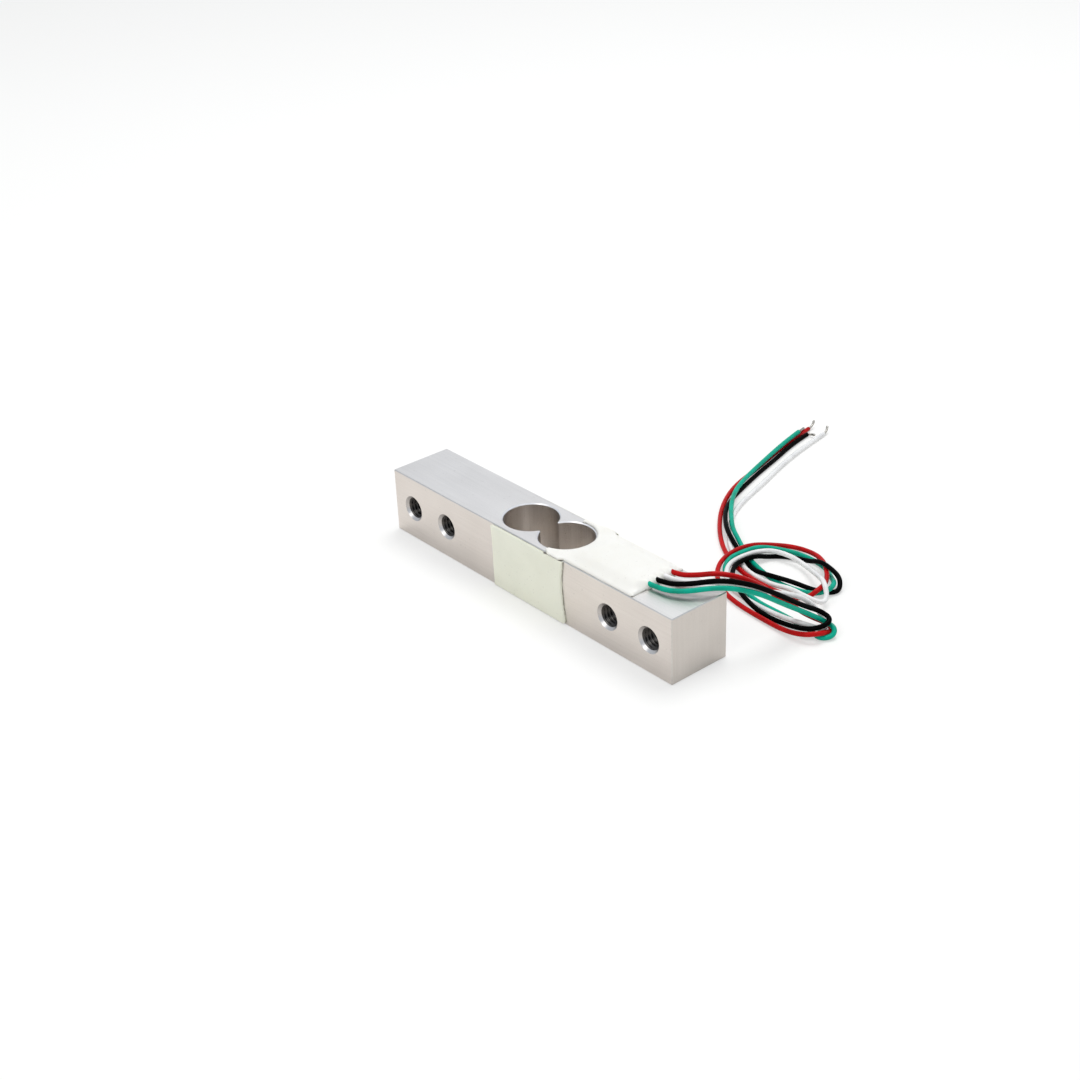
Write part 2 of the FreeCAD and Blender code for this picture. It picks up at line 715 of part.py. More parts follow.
def make_lead(colour, index):
    """A lead's insulation, from its stripped near end to its stripped far end."""
    start = (size("lead_start"), value(lead_y(index)), size("beam_height") + size("lead_lift"))
    return tube(f"{colour}_lead", [start] + LEAD_ROUTES[colour], size("lead_diameter"))


def make_far_end(colour):
    """The tinned strands beyond the insulation: straight on, then bent to the bench."""
    before, end = (FreeCAD.Vector(*point) for point in LEAD_ROUTES[colour][-2:])
    bend = end + (end - before).normalize() * size("far_strip") / 2
    return tube(f"{colour}_far_end", [end, bend, FAR_TIPS[colour]], size("core_diameter"))


def make_side_sealant(side, contents):
    """Sealant over a side's two gauges, as high as the bar where it meets the top sealant."""
    name = side_name(side)
    body = new_body(f"{name}_sealant_blank")
    left = "Sizes.side_sealant_left"
    right = "Sizes.side_sealant_right"
    low = "Sizes.side_sealant_margin"
    shoulder = "Sizes.beam_height - Sizes.side_sealant_margin"
    top = "Sizes.beam_height"
    bridge = "Sizes.bridge_left"
    outline = new_sketch(body, f"{name}_sealant_outline", "XZ_Plane")
    corners = [(left, low), (right, low), (right, top), (bridge, top), (bridge, shoulder), (left, shoulder)]
    draw_chain(outline, corners)
    pad(body, outline, "Sizes.side_sealant_thickness", Reversed=side == BACK)
    bind(body, Placement__Base__y=f"{side} * Sizes.beam_width / 2")
    doc.recompute()

    middle = (size("side_sealant_left") + size("side_sealant_right")) / 2
    height = size("beam_height")
    outer = side * size("side_sealant_thickness")

    def on_corner(edge):
        across = near(edge.Length, size("side_sealant_thickness"))
        point = edge.Vertexes[0].Point
        low_corner = point.z < height / 2
        return across and (low_corner or point.x < middle)

    def on_outer(edge):
        outside = all_points(edge, lambda point: near(point.y, outer))
        return outside and not all_points(edge, lambda point: near(point.z, height))

    dress(body, "Fillet", on_corner, Radius="Sizes.side_sealant_corner")
    dress(body, "Fillet", on_outer, Radius="Sizes.sealant_round")
    return hollow_out(f"{name}_sealant", body, contents)


def make_top_sealant(contents):
    """Sealant from the binocular hole's rim to the leads, raised over the board."""
    body = new_body("top_sealant_blank")
    edge_y = "(Sizes.beam_width / 2 - Sizes.top_sealant_margin)"
    over = "(Sizes.beam_width / 2 + Sizes.side_sealant_thickness)"
    bridge = "Sizes.bridge_left"
    right = "Sizes.side_sealant_right"
    end = "Sizes.top_sealant_end"
    front_x = "Sizes.top_sealant_front_x"
    back_x = "Sizes.top_sealant_back_x"
    centre = size("lobe_spacing") / 2
    radius = size("lobe_radius") + size("rim_gap")
    front_angle = -math.acos((size("top_sealant_front_x") - centre) / radius)
    back_angle = math.acos((size("top_sealant_back_x") - centre) / radius)
    rim = "(Sizes.lobe_radius + Sizes.rim_gap)"
    front_rim = f"-sqrt({rim}^2 - ({front_x} - Sizes.lobe_spacing / 2)^2)"
    back_rim = f"sqrt({rim}^2 - ({back_x} - Sizes.lobe_spacing / 2)^2)"

    film = new_sketch(body, "top_sealant_film", "XY_Plane", "Sizes.beam_height")
    chain = [
        (front_x, front_rim),
        (front_x, f"-{edge_y}"),
        (bridge, f"-{edge_y}"),
        (bridge, f"-{over}"),
        (right, f"-{over}"),
        (right, f"-{edge_y}"),
        (end, f"-{edge_y}"),
        (end, edge_y),
        (right, edge_y),
        (right, over),
        (bridge, over),
        (bridge, edge_y),
        (back_x, edge_y),
        (back_x, back_rim),
    ]
    first, last = draw_chain(film, chain, closed=False)
    circle = Part.Circle(FreeCAD.Vector(centre, 0, 0), FreeCAD.Vector(0, 0, 1), radius)
    arc = film.addGeometry(Part.ArcOfCircle(circle, front_angle, back_angle))
    film.addConstraint(Sketcher.Constraint("Coincident", last, 2, arc, 2))
    film.addConstraint(Sketcher.Constraint("Coincident", first, 1, arc, 1))
    place_point(film, arc, 3, "Sizes.lobe_spacing / 2", "0")
    place_point(film, last, 2, back_x, None)
    pad(body, film, "Sizes.top_sealant_thickness")

    height = size("beam_height") + size("top_sealant_thickness")
    beside_hole = f"({edge_y} - {rim})"
    dress(
        body,
        "Fillet",
        lambda edge: all_points(edge, lambda point: near(point.z, height)),
        Radius=f"min(Sizes.sealant_round; {beside_hole} * 0.4)",
    )

    mound = new_sketch(body, "mound_outline", "XY_Plane", "Sizes.beam_height + Sizes.top_sealant_thickness")
    half = "(Sizes.board_width / 2 + Sizes.mound_margin)"
    corners = rectangle(
        "Sizes.board_left - Sizes.mound_margin",
        "Sizes.top_sealant_end - Sizes.sealant_round",
        f"Sizes.board_offset - {half}",
        f"Sizes.board_offset + {half}",
    )
    draw_chain(mound, corners)
    raised = pad(body, mound, "Sizes.mound_height")
    raised.setExpression("TaperAngle", "-Sizes.mound_taper")
    doc.recompute()
    top = height + size("mound_height")
    dress(
        body,
        "Fillet",
        lambda edge: all_points(edge, lambda point: near(point.z, top)),
        Radius="Sizes.mound_round",
    )
    return hollow_out("top_sealant", body, contents)


def check_document():
    """Every object of the document has recomputed without a fault."""
    doc.recompute()
    for item in doc.Objects:
        if "Invalid" in item.State or "Error" in item.State:
            raise RuntimeError(f"{item.Label} did not recompute: {item.State}")


def save(pieces):
    """One STEP file for each sub-part, named after its label."""
    for piece in pieces:
        shape = piece.Shape
        if shape.isNull() or not shape.isValid() or not shape.Solids:
            raise RuntimeError(f"{piece.Label} has no valid solid")
    os.makedirs("parts", exist_ok=True)
    for piece in pieces:
        piece.Shape.exportStep(f"parts/{piece.Label}.step")
        volume = piece.Shape.Volume
        print(f"{piece.Label}: {len(piece.Shape.Solids)} solid(s), {volume:.2f} mm3")


def main():
    beam = make_beam()
    films = []
    foils = []
    for side in (FRONT, BACK):
        for end, place in ((-1, "left"), (1, "right")):
            name = f"{side_name(side)}_{place}_gauge"
            films.append(make_film(f"{name}_film", side, end))
            foils.append(make_foil(f"{name}_foil", side, end))
    jumpers = [make_jumpers(FRONT), make_jumpers(BACK)]
    gauge_solder = [make_gauge_dots(FRONT, jumpers[0]), make_gauge_dots(BACK, jumpers[1])]
    board = make_board()
    pads = make_pads()
    board_solder = make_board_dots(jumpers)

    near_ends = []
    joints = []
    leads = []
    far_ends = []
    for index, colour in enumerate(("green", "black", "white", "red")):
        near_ends.append(make_near_end(colour, index))
        joints.append(make_joint(colour, index, near_ends[-1]))
        leads.append(make_lead(colour, index))
        far_ends.append(make_far_end(colour))

    on_front = [*films[:2], *foils[:2], jumpers[0], gauge_solder[0]]
    on_back = [*films[2:], *foils[2:], jumpers[1], gauge_solder[1]]
    on_top = [board, pads, board_solder, *jumpers, *near_ends, *joints, *leads]
    sealants = [
        make_side_sealant(FRONT, on_front),
        make_side_sealant(BACK, on_back),
        make_top_sealant(on_top),
    ]
    check_document()
    inside = [*films, *foils, *jumpers, *gauge_solder, board, pads, board_solder, *near_ends, *joints]
    save([beam, *inside, *sealants, *leads, *far_ends])


main()
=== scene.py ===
import math

import bpy
import bmesh
from mathutils import Matrix, Vector, noise


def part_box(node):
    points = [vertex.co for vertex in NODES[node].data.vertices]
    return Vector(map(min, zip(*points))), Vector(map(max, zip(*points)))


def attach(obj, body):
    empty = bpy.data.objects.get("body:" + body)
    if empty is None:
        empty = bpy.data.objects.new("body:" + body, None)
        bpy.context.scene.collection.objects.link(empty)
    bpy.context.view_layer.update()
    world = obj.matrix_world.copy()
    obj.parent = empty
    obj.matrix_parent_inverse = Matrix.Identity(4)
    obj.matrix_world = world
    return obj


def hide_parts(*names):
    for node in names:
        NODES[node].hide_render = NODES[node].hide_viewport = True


# Looks for the single point load cell. Everything is in metres in the part's own frame: the
# bar lies along X, its front faces -Y, and the leads leave at its +X end. Only the sealant's
# outlines are worked out in millimetres, and each film's place() turns them into metres.

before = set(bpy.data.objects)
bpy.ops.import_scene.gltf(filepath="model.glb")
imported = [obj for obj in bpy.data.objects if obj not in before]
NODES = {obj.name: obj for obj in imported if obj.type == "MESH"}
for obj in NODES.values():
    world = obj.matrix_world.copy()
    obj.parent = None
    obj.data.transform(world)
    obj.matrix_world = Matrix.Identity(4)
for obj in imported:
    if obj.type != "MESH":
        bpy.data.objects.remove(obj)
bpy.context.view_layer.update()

MM = 0.001


# ---------------------------------------------------------------- camera


def make_camera():
    """The view from the lead end, looking down at the bar's front."""
    azimuth = math.radians(50.638)
    elevation = math.radians(29.169)
    roll = math.radians(-2.479)
    distance = 0.33461
    target = Vector((-0.01490, 0.01004, 0.0))
    back = Vector((
        math.sin(azimuth) * math.cos(elevation),
        -math.cos(azimuth) * math.cos(elevation),
        math.sin(elevation),
    ))
    level = Vector((math.cos(azimuth), math.sin(azimuth), 0))
    upright = back.cross(level)
    right = level * math.cos(roll) + upright * math.sin(roll)
    up = upright * math.cos(roll) - level * math.sin(roll)
    data = bpy.data.cameras.new("camera")
    data.sensor_width = 36
    data.lens = 59.05
    data.clip_start = 0.01
    data.clip_end = 20
    camera = bpy.data.objects.new("camera", data)
    bpy.context.scene.collection.objects.link(camera)
    matrix = Matrix((right, up, back)).transposed().to_4x4()
    matrix.translation = target + back * distance
    camera.matrix_world = matrix
    bpy.context.scene.camera = camera


# ---------------------------------------------------------------- materials


class Nodes:
    """A material's node tree, with short calls for what these materials need."""

    def __init__(self, name):
        self.material = bpy.data.materials.new(name)
        self.material.use_nodes = True
        self.tree = self.material.node_tree
        self.shader = self.tree.nodes["Principled BSDF"]
        self.place = self.tree.nodes.new("ShaderNodeTexCoord").outputs["Object"]

    def add(self, kind, **settings):
        node = self.tree.nodes.new(kind)
        for name, setting in settings.items():
            setattr(node, name, setting)
        return node

    def link(self, source, target):
        self.tree.links.new(source, target)

    def feed(self, socket, source):
        """A constant set on a socket, or another node's output linked to it."""
        if isinstance(source, (int, float, tuple)):
            socket.default_value = source
        else:
            self.link(source, socket)

    def stretched(self, scale):
        """The place in space, scaled per axis, in features per metre."""
        mapping = self.add("ShaderNodeMapping")
        mapping.inputs["Scale"].default_value = scale
        self.link(self.place, mapping.inputs["Vector"])
        return mapping.outputs["Vector"]

    def noise(self, scale, detail=3.0, roughness=0.5, distortion=0.0):
        texture = self.add("ShaderNodeTexNoise")
        texture.inputs["Scale"].default_value = 1.0
        texture.inputs["Detail"].default_value = detail
        texture.inputs["Roughness"].default_value = roughness
        texture.inputs["Distortion"].default_value = distortion
        self.link(self.stretched(scale), texture.inputs["Vector"])
        return texture.outputs["Fac"]

    def ramp(self, source, stops):
        """Colours along a value, as (place, colour) pairs."""
        ramp = self.add("ShaderNodeValToRGB")
        first, last = ramp.color_ramp.elements
        first.position, first.color = stops[0][0], stops[0][1]
        last.position, last.color = stops[-1][0], stops[-1][1]
        for position, colour in stops[1:-1]:
            ramp.color_ramp.elements.new(position).color = colour
        self.link(source, ramp.inputs["Fac"])
        return ramp.outputs["Color"]

    def range(self, source, low, high, from_low=0.3, from_high=0.7):
        """A value stretched to run from low to high."""
        node = self.add("ShaderNodeMapRange")
        node.inputs["From Min"].default_value = from_low
        node.inputs["From Max"].default_value = from_high
        node.inputs["To Min"].default_value = low
        node.inputs["To Max"].default_value = high
        self.link(source, node.inputs["Value"])
        return node.outputs["Result"]

    def math(self, operation, first, second):
        node = self.add("ShaderNodeMath", operation=operation)
        self.feed(node.inputs[0], first)
        self.feed(node.inputs[1], second)
        return node.outputs["Value"]

    def mix(self, amount, first, second, blend_type="MIX"):
        """Two colours mixed by a value."""
        node = self.add("ShaderNodeMix", data_type="RGBA", blend_type=blend_type)
        self.feed(node.inputs["Factor"], amount)
        self.feed(node.inputs[6], first)
        self.feed(node.inputs[7], second)
        return node.outputs[2]

    def bump(self, height, distance):
        node = self.add("ShaderNodeBump")
        node.inputs["Strength"].default_value = 1.0
        node.inputs["Distance"].default_value = distance
        self.link(height, node.inputs["Height"])
        self.link(node.outputs["Normal"], self.shader.inputs["Normal"])

    def set(self, **values):
        """Constants on the shader's own sockets."""
        for name, number in values.items():
            self.shader.inputs[name.replace("_", " ")].default_value = number

    def colour(self, source):
        self.link(source, self.shader.inputs["Base Color"])

    def roughness(self, source):
        self.link(source, self.shader.inputs["Roughness"])


def rgb(red, green, blue):
    return (red, green, blue, 1.0)


def brushed_metal(name, dark, light, streaks, rough=(0.28, 0.42), pits=0.0, depth=2.0e-6):
    """Aluminium with fine streaks, faint clouds and, if wanted, tiny pits."""
    nodes = Nodes(name)
    nodes.set(Metallic=1.0)
    fine = nodes.noise(streaks, detail=4.0, roughness=0.6)
    cloud = nodes.noise((90, 90, 90), detail=2.0)
    grain = nodes.noise((5200, 5200, 5200), detail=2.0)
    blend = nodes.math("MULTIPLY", nodes.math("ADD", fine, cloud), 0.5)
    tone = nodes.ramp(blend, [(0.30, dark), (0.68, light)])
    specks = nodes.ramp(grain, [(0.30, rgb(0.94, 0.94, 0.94)), (0.50, rgb(1, 1, 1))])
    result = nodes.mix(1.0, tone, specks, blend_type="MULTIPLY")
    height = fine
    if pits:
        dots = nodes.noise((1300, 1300, 1300), detail=1.0)
        hollow = nodes.range(dots, 0.0, 1.0, from_low=0.72, from_high=0.76)
        share = nodes.math("MULTIPLY", hollow, pits)
        result = nodes.mix(share, result, rgb(0.25, 0.235, 0.22))
        height = nodes.math("SUBTRACT", fine, hollow)
    nodes.colour(result)
    wear = nodes.math("ADD", fine, grain)
    nodes.roughness(nodes.range(wear, *rough, from_low=0.7, from_high=1.3))
    nodes.bump(height, depth)
    return nodes.material


def silicone(name, light, shade, rough):
    """Cured sealant: waxy, a little uneven, with faint clouds and dust."""
    nodes = Nodes(name)
    nodes.set(
        Subsurface_Weight=0.25,
        Subsurface_Radius=(1.0, 0.9, 0.7),
        Subsurface_Scale=0.0006,
        Specular_IOR_Level=0.42,
    )
    cloud = nodes.noise((170, 170, 170), detail=4.0, roughness=0.55, distortion=0.4)
    dust = nodes.noise((2600, 2600, 2600), detail=1.0)
    tone = nodes.ramp(cloud, [(0.30, shade), (0.62, light)])
    specks = nodes.range(dust, 0.0, 0.35, from_low=0.70, from_high=0.78)
    nodes.colour(nodes.mix(specks, tone, rgb(0.45, 0.43, 0.36)))
    nodes.roughness(nodes.range(cloud, rough - 0.06, rough + 0.08))
    ripple = nodes.noise((420, 420, 420), detail=3.0, roughness=0.5)
    nodes.bump(nodes.math("ADD", ripple, nodes.math("MULTIPLY", dust, 0.12)), 3.5e-5)
    return nodes.material


def insulation(name, colour, deep, gloss=0.2):
    """Extruded PVC: smooth and slightly glossy, with faint handling marks."""
    nodes = Nodes(name)
    nodes.set(Specular_IOR_Level=gloss)
    cloud = nodes.noise((480, 480, 480), detail=3.0)
    grain = nodes.noise((4200, 4200, 4200), detail=2.0)
    nodes.colour(nodes.ramp(cloud, [(0.32, deep), (0.60, colour)]))
    wear = nodes.math("ADD", cloud, grain)
    nodes.roughness(nodes.range(wear, 0.28, 0.44, from_low=0.7, from_high=1.3))
    nodes.bump(nodes.math("ADD", grain, cloud), 4.0e-6)
    return nodes.material


def plain_metal(name, dark, light, rough):
    """Small metal or enamelled pieces, with a mottled surface."""
    nodes = Nodes(name)
    nodes.set(Metallic=1.0)
    cloud = nodes.noise((2500, 2500, 2500), detail=3.0)
    nodes.colour(nodes.ramp(cloud, [(0.34, dark), (0.62, light)]))
    nodes.roughness(nodes.range(cloud, rough - 0.07, rough + 0.09))
    nodes.bump(cloud, 4.0e-6)
    return nodes.material


def carrier_film(name, light, dark):
    """The gauges' polyimide film: amber and a little translucent."""
    nodes = Nodes(name)
    nodes.set(Transmission_Weight=0.15, IOR=1.6)
    cloud = nodes.noise((900, 900, 900), detail=3.0)
    nodes.colour(nodes.ramp(cloud, [(0.32, dark), (0.62, light)]))
    nodes.roughness(nodes.range(cloud, 0.26, 0.4))
    nodes.bump(cloud, 3.0e-6)
    return nodes.material


def circuit_board(name):
    """Glass-fibre board with its weave just showing through a green mask."""
    nodes = Nodes(name)
    nodes.set(Coat_Weight=0.3, Coat_Roughness=0.2)
    threads = []
    for direction in "XY":
        wave = nodes.add("ShaderNodeTexWave", wave_type="BANDS", bands_direction=direction)
        wave.inputs["Scale"].default_value = 700
        nodes.link(nodes.place, wave.inputs["Vector"])
        threads.append(wave.outputs["Fac"])
    height = nodes.math("MULTIPLY", *threads)
    stops = [(0.1, rgb(0.012, 0.10, 0.045)), (0.9, rgb(0.02, 0.15, 0.07))]
    nodes.colour(nodes.ramp(height, stops))
    nodes.roughness(nodes.range(height, 0.35, 0.45, 0.0, 1.0))
    nodes.bump(height, 6.0e-6)
    return nodes.material


# How dense a finish's streaks are along each axis: long across a drawn face, upright where a
# cutter passed, and even where the piece was turned.
ALONG_X = (55, 3400, 3400)
ALONG_Z = (3400, 3400, 70)
TURNED = (700, 700, 700)

FACE = brushed_metal(
    "drawn_face",
    rgb(0.65, 0.625, 0.595),
    rgb(0.74, 0.715, 0.685),
    ALONG_X,
    rough=(0.34, 0.46),
    pits=0.12,
)
END = brushed_metal(
    "milled_end",
    rgb(0.58, 0.56, 0.53),
    rgb(0.65, 0.63, 0.60),
    ALONG_Z,
    rough=(0.38, 0.50),
    pits=0.1,
)
# The outer chamfers are coloured darker than the faces: painted shade along the bar's edges.
SHADED_EDGE = brushed_metal("edge_painted_shade", rgb(0.50, 0.49, 0.47), rgb(0.64, 0.63, 0.61), ALONG_X)
# The chamfer round the binocular hole is coloured brighter than the faces: a painted highlight on
# the hole's rim.
HIGHLIT_RIM = brushed_metal(
    "rim_painted_highlight", rgb(0.74, 0.73, 0.72), rgb(0.86, 0.85, 0.84), TURNED, rough=(0.30, 0.44)
)
# The countersinks are coloured darker than the faces: painted shade in the mouths of the bores.
SHADED_SINK = brushed_metal(
    "countersink", rgb(0.43, 0.42, 0.41), rgb(0.57, 0.56, 0.55), TURNED, rough=(0.26, 0.40)
)
WALL = brushed_metal(
    "milled_wall",
    rgb(0.62, 0.58, 0.54),
    rgb(0.76, 0.72, 0.68),
    ALONG_Z,
    rough=(0.26, 0.40),
    depth=3.0e-6,
)
# The threads are coloured nearly black: painted shade deep in the bores.
SHADED_THREAD = brushed_metal(
    "thread_painted_shade",
    rgb(0.030, 0.028, 0.026),
    rgb(0.090, 0.086, 0.082),
    (900, 900, 900),
    rough=(0.24, 0.40),
)
# The side and top films are one sealant; the side film is coloured darker and yellower as painted
# shade for the less lit sides.
SHADED_SIDE_SILICONE = silicone("side_silicone_painted_shade", rgb(0.90, 0.90, 0.74), rgb(0.86, 0.86, 0.70), 0.46)
TOP_SILICONE = silicone("top_silicone", rgb(0.96, 0.94, 0.87), rgb(0.94, 0.915, 0.835), 0.44)
PVC = {
    "green": insulation(
        "green_insulation", rgb(0.0, 0.38, 0.26), rgb(0.0, 0.29, 0.19), gloss=0.14
    ),
    "black": insulation(
        "black_insulation", rgb(0.002, 0.002, 0.002), rgb(0.001, 0.001, 0.001), gloss=0.02
    ),
    "white": insulation("white_insulation", rgb(0.80, 0.80, 0.80), rgb(0.70, 0.70, 0.705)),
    "red": insulation(
        "red_insulation", rgb(0.48, 0.002, 0.003), rgb(0.36, 0.001, 0.001), gloss=0.12
    ),
}
TINNED = plain_metal("tinned_copper", rgb(0.26, 0.245, 0.22), rgb(0.44, 0.42, 0.38), 0.34)
SOLDER = plain_metal("solder", rgb(0.52, 0.52, 0.53), rgb(0.74, 0.74, 0.75), 0.28)
ENAMEL = plain_metal("enamelled_copper", rgb(0.34, 0.09, 0.03), rgb(0.55, 0.19, 0.07), 0.30)
COPPER = plain_metal("pad_copper", rgb(0.60, 0.30, 0.17), rgb(0.80, 0.44, 0.27), 0.34)
FOIL = plain_metal("gauge_foil", rgb(0.44, 0.40, 0.34), rgb(0.62, 0.58, 0.50), 0.36)
FILM = carrier_film("gauge_film", rgb(0.62, 0.30, 0.05), rgb(0.45, 0.20, 0.03))
BOARD = circuit_board("board_laminate")

# The finishes of the pieces under the sealant, by how their nodes' names end.
HIDDEN_FINISHES = {
    "gauge_film": FILM,
    "gauge_foil": FOIL,
    "jumpers": ENAMEL,
    "solder": SOLDER,
    "solder_joint": SOLDER,
    "near_end": TINNED,
    "terminal_board": BOARD,
    "board_pads": COPPER,
}


def paint(piece, *materials):
    piece.data.materials.clear()
    for material in materials:
        piece.data.materials.append(material)


def add_piece(name, data, node):
    """A new piece that rides on the part and stands for a CAD node."""
    piece = bpy.data.objects.new(name, data)
    bpy.context.scene.collection.objects.link(piece)
    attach(piece, "root")
    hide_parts(node)
    return piece


def mesh_from(work, name):
    """The mesh that a bmesh has built, which is then let go."""
    data = bpy.data.meshes.new(name)
    work.to_mesh(data)
    work.free()
    return data


def join_rings(work, rings):
    """Closes a tube from rings of as many points each, with a face over either end."""
    for low, high in zip(rings, rings[1:]):
        for side in range(len(low)):
            after = (side + 1) % len(low)
            work.faces.new((low[side], low[after], high[after], high[side]))
    work.faces.new(rings[0][::-1])
    work.faces.new(rings[-1])


# ---------------------------------------------------------------- leads

LEAD_DIAMETER = 0.9 * MM
CORE_DIAMETER = 0.5 * MM
STRANDS = 7
TWIST_PER_METRE = 2600.0

# Each lead's control points in metres: out of the sealant, over the bar's end, round a tight
# first bend on the bench, back behind the bar, round a second bend and away.
LEAD_ROUTES = {
    "green": [
        (0.0244, -0.0021, 0.01345), (0.0293, -0.0021, 0.01345), (0.0338, -0.0008, 0.0139),
        (0.0378, 0.0046, 0.0145), (0.0407, 0.0100, 0.0124), (0.0418, 0.0156, 0.0082),
        (0.0422, 0.0208, 0.0045), (0.0436, 0.0242, 0.00195), (0.0458, 0.0243, 0.0015),
        (0.0463, 0.0229, 0.0006), (0.0450, 0.0211, 0.0005), (0.0426, 0.0219, 0.0005),
        (0.0396, 0.0222, 0.0005), (0.0347, 0.0223, 0.0005), (0.0293, 0.0223, 0.0005),
        (0.0247, 0.0238, 0.0005), (0.0208, 0.0244, 0.0005), (0.0176, 0.0261, 0.0005),
        (0.0166, 0.0284, 0.0015), (0.0166, 0.0318, 0.0015), (0.0173, 0.0355, 0.0015),
        (0.0194, 0.0389, 0.0005), (0.0240, 0.0404, 0.0005), (0.0296, 0.0400, 0.0005),
        (0.0333, 0.0377, 0.0005), (0.0358, 0.0355, 0.0015), (0.0366, 0.0329, 0.00135),
        (0.0343, 0.0309, 0.0005), (0.0294, 0.0297, 0.0005), (0.0257, 0.0299, 0.0005),
        (0.0213, 0.0311, 0.0005), (0.0175, 0.0326, 0.0005), (0.0146, 0.0343, 0.0005),
        (0.0121, 0.0355, 0.0012), (0.0094, 0.0370, 0.0015), (0.0064, 0.0397, 0.0015),
        (0.0028, 0.0433, 0.0014), (-0.0003, 0.0472, 0.0015), (-0.0028, 0.0520, 0.00145),
        (-0.0051, 0.0588, 0.00145), (-0.0075, 0.0665, 0.00145), (-0.0092, 0.0724, 0.00145),
        (-0.0102, 0.0768, 0.00145),
    ],
    "black": [
        (0.0244, -0.0003, 0.01345), (0.0289, -0.0003, 0.01345), (0.0331, 0.0011, 0.0143),
        (0.0372, 0.0052, 0.0153), (0.0403, 0.0100, 0.0136), (0.0413, 0.0154, 0.0097),
        (0.0418, 0.0204, 0.0059), (0.0426, 0.0241, 0.0036), (0.0447, 0.0243, 0.0029),
        (0.0450, 0.0225, 0.0024), (0.0430, 0.0204, 0.0016), (0.0382, 0.0203, 0.0005),
        (0.0329, 0.0199, 0.0005), (0.0284, 0.0205, 0.0013), (0.0248, 0.0222, 0.0015),
        (0.0212, 0.0244, 0.0015), (0.0189, 0.0276, 0.0015), (0.0188, 0.0308, 0.0015),
        (0.0195, 0.0330, 0.0014), (0.0201, 0.0350, 0.0007), (0.0214, 0.0371, 0.0005),
        (0.0241, 0.0387, 0.0005), (0.0267, 0.0389, 0.0009), (0.0296, 0.0384, 0.0023),
        (0.0324, 0.0378, 0.0025), (0.0353, 0.0374, 0.0018), (0.0369, 0.0357, 0.0006),
        (0.0366, 0.0338, 0.0005), (0.0336, 0.0323, 0.0005), (0.0301, 0.0307, 0.0014),
        (0.0258, 0.0293, 0.0015), (0.0214, 0.0298, 0.0005), (0.0178, 0.0315, 0.0005),
        (0.0146, 0.0331, 0.0005), (0.0122, 0.0341, 0.0013), (0.0088, 0.0360, 0.0015),
        (0.0055, 0.0389, 0.0014), (0.0023, 0.0424, 0.0010), (-0.0005, 0.0470, 0.0005),
        (-0.0021, 0.0515, 0.0005), (-0.0043, 0.0583, 0.0005), (-0.0063, 0.0659, 0.0005),
        (-0.0085, 0.0731, 0.0005), (-0.0094, 0.0786, 0.0005),
    ],
    "white": [
        (0.0244, 0.0015, 0.01345), (0.0287, 0.0015, 0.01345), (0.0326, 0.0027, 0.0138),
        (0.0363, 0.0060, 0.0142), (0.0394, 0.0106, 0.0121), (0.0404, 0.0156, 0.0098),
        (0.0404, 0.0206, 0.0072), (0.0407, 0.0239, 0.0043), (0.0422, 0.0250, 0.0021),
        (0.0436, 0.0247, 0.0010), (0.0439, 0.0230, 0.0009), (0.0422, 0.0215, 0.0017),
        (0.0370, 0.0204, 0.0015), (0.0306, 0.0213, 0.0006), (0.0256, 0.0218, 0.0005),
        (0.0224, 0.0225, 0.0006), (0.0198, 0.0244, 0.0016), (0.0178, 0.0275, 0.0015),
        (0.0177, 0.0311, 0.0015), (0.0184, 0.0341, 0.0015), (0.0203, 0.0363, 0.0016),
        (0.0236, 0.0373, 0.0014), (0.0266, 0.0371, 0.0012), (0.0298, 0.0360, 0.0015),
        (0.0331, 0.0341, 0.0025), (0.0358, 0.0325, 0.0032), (0.0380, 0.0310, 0.0018),
        (0.0388, 0.0290, 0.0013), (0.0358, 0.0279, 0.0019), (0.0316, 0.0285, 0.0016),
        (0.0274, 0.0285, 0.0005), (0.0220, 0.0285, 0.0005), (0.0168, 0.0304, 0.0005),
        (0.0128, 0.0328, 0.0005), (0.0094, 0.0359, 0.0005), (0.0064, 0.0394, 0.0005),
        (0.0034, 0.0437, 0.0005), (0.0014, 0.0486, 0.0005), (-0.0008, 0.0562, 0.0005),
        (-0.0034, 0.0639, 0.0005), (-0.0056, 0.0721, 0.0005), (-0.0072, 0.0812, 0.0005),
    ],
    "red": [
        (0.0244, 0.0033, 0.01345), (0.0285, 0.0033, 0.01345), (0.0320, 0.0043, 0.0143),
        (0.0357, 0.0064, 0.0155), (0.0385, 0.0105, 0.0137), (0.0391, 0.0154, 0.0094),
        (0.0392, 0.0200, 0.0052), (0.0402, 0.0236, 0.0018), (0.0424, 0.0258, 0.0005),
        (0.0449, 0.0248, 0.0005), (0.0451, 0.0229, 0.0010), (0.0453, 0.0207, 0.0018),
        (0.0436, 0.0189, 0.0015), (0.0397, 0.0185, 0.0007), (0.0340, 0.0188, 0.0005),
        (0.0267, 0.0194, 0.0005), (0.0212, 0.0213, 0.0005), (0.0170, 0.0248, 0.0009),
        (0.0153, 0.0290, 0.0015), (0.0155, 0.0346, 0.0015), (0.0170, 0.0389, 0.0005),
        (0.0209, 0.0416, 0.0005), (0.0256, 0.0416, 0.0010), (0.0293, 0.0399, 0.0016),
        (0.0326, 0.0372, 0.0015), (0.0346, 0.0345, 0.0015), (0.0360, 0.0314, 0.0023),
        (0.0352, 0.0284, 0.0008), (0.0305, 0.0273, 0.0005), (0.0241, 0.0272, 0.0005),
        (0.0184, 0.0284, 0.0005), (0.0128, 0.0312, 0.0005), (0.0084, 0.0346, 0.0005),
        (0.0050, 0.0379, 0.0005), (0.0016, 0.0418, 0.0005), (-0.0015, 0.0464, 0.0005),
        (-0.0040, 0.0518, 0.0005), (-0.0056, 0.0584, 0.0005), (-0.0077, 0.0661, 0.0005),
        (-0.0098, 0.0738, 0.0005), (-0.0110, 0.0808, 0.0005),
    ],
}

